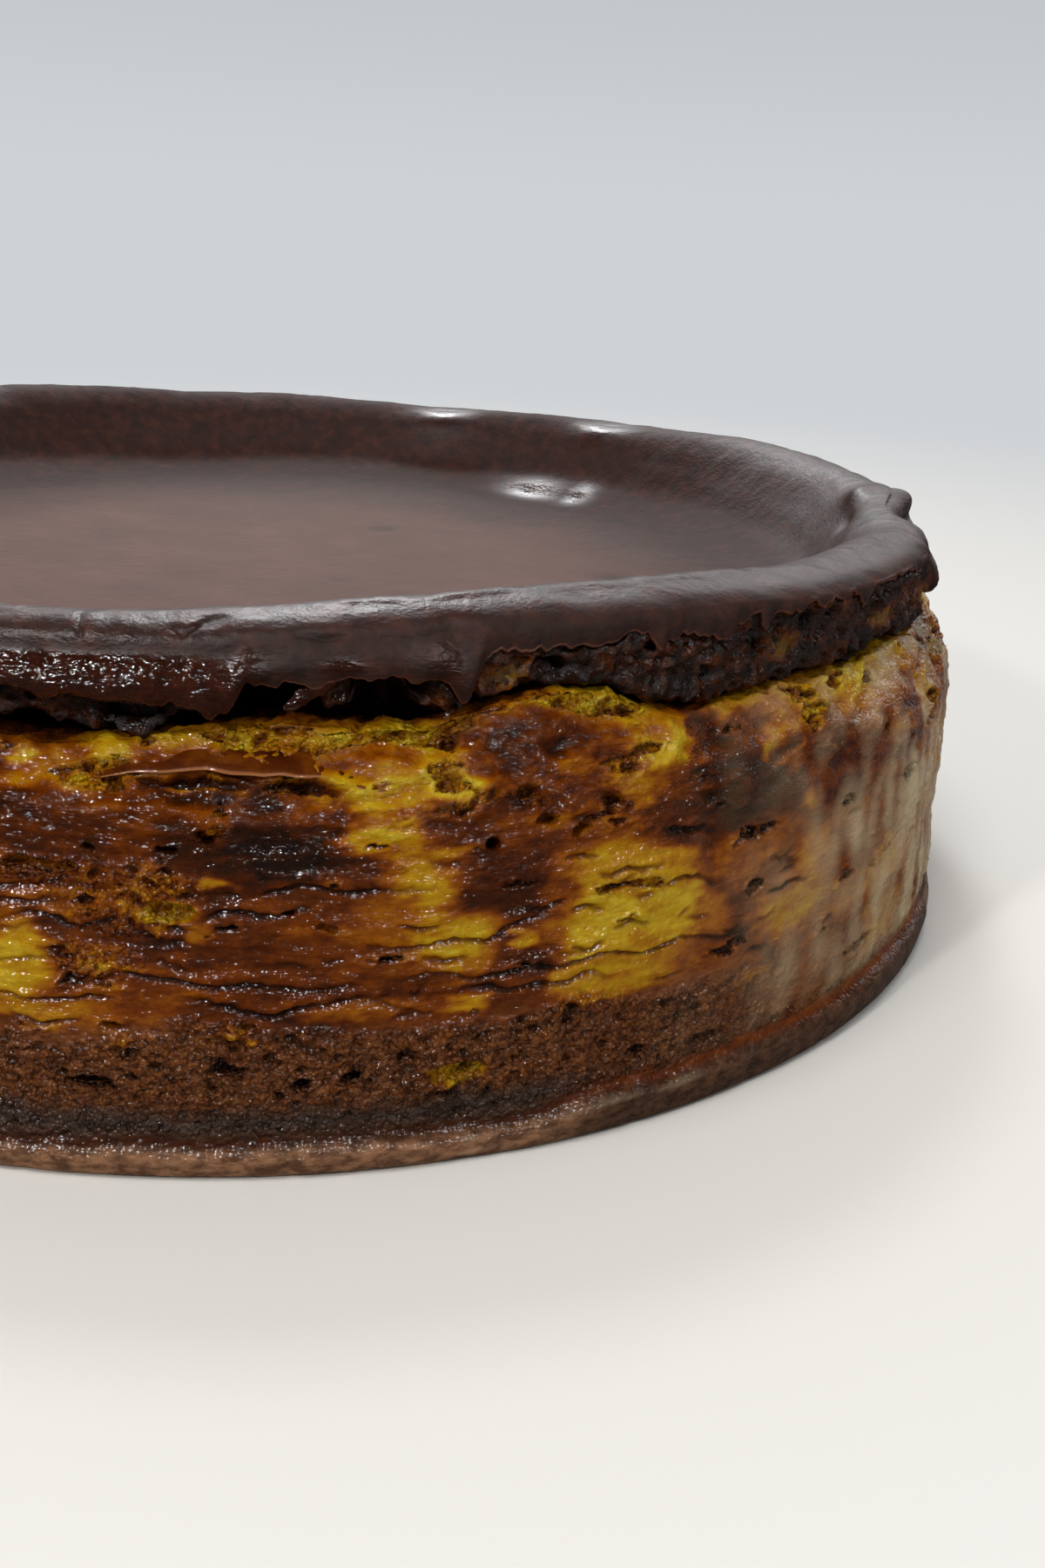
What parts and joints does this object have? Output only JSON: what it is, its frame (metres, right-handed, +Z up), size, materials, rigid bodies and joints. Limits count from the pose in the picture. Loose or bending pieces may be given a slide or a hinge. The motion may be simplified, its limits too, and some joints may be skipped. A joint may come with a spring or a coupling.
{
  "type": "baked cheesecake",
  "caption": "Round baked cheesecake with a dark proud rim, a sunken middle and a ragged crack where the risen top tore free of its browned wall.",
  "frame": {"origin": "centre of the flat base, on the surface that the cake rests on", "axes": "+Z up through the middle of the round cake; the side with the widest tear under the rim faces -Y"},
  "size_m": [0.152, 0.1519, 0.0425],
  "materials": {
    "baked_cheese": "satin"
  },
  "bodies": {
    "root": {"cheesecake": "baked_cheese"}
  },
  "joints": []
}
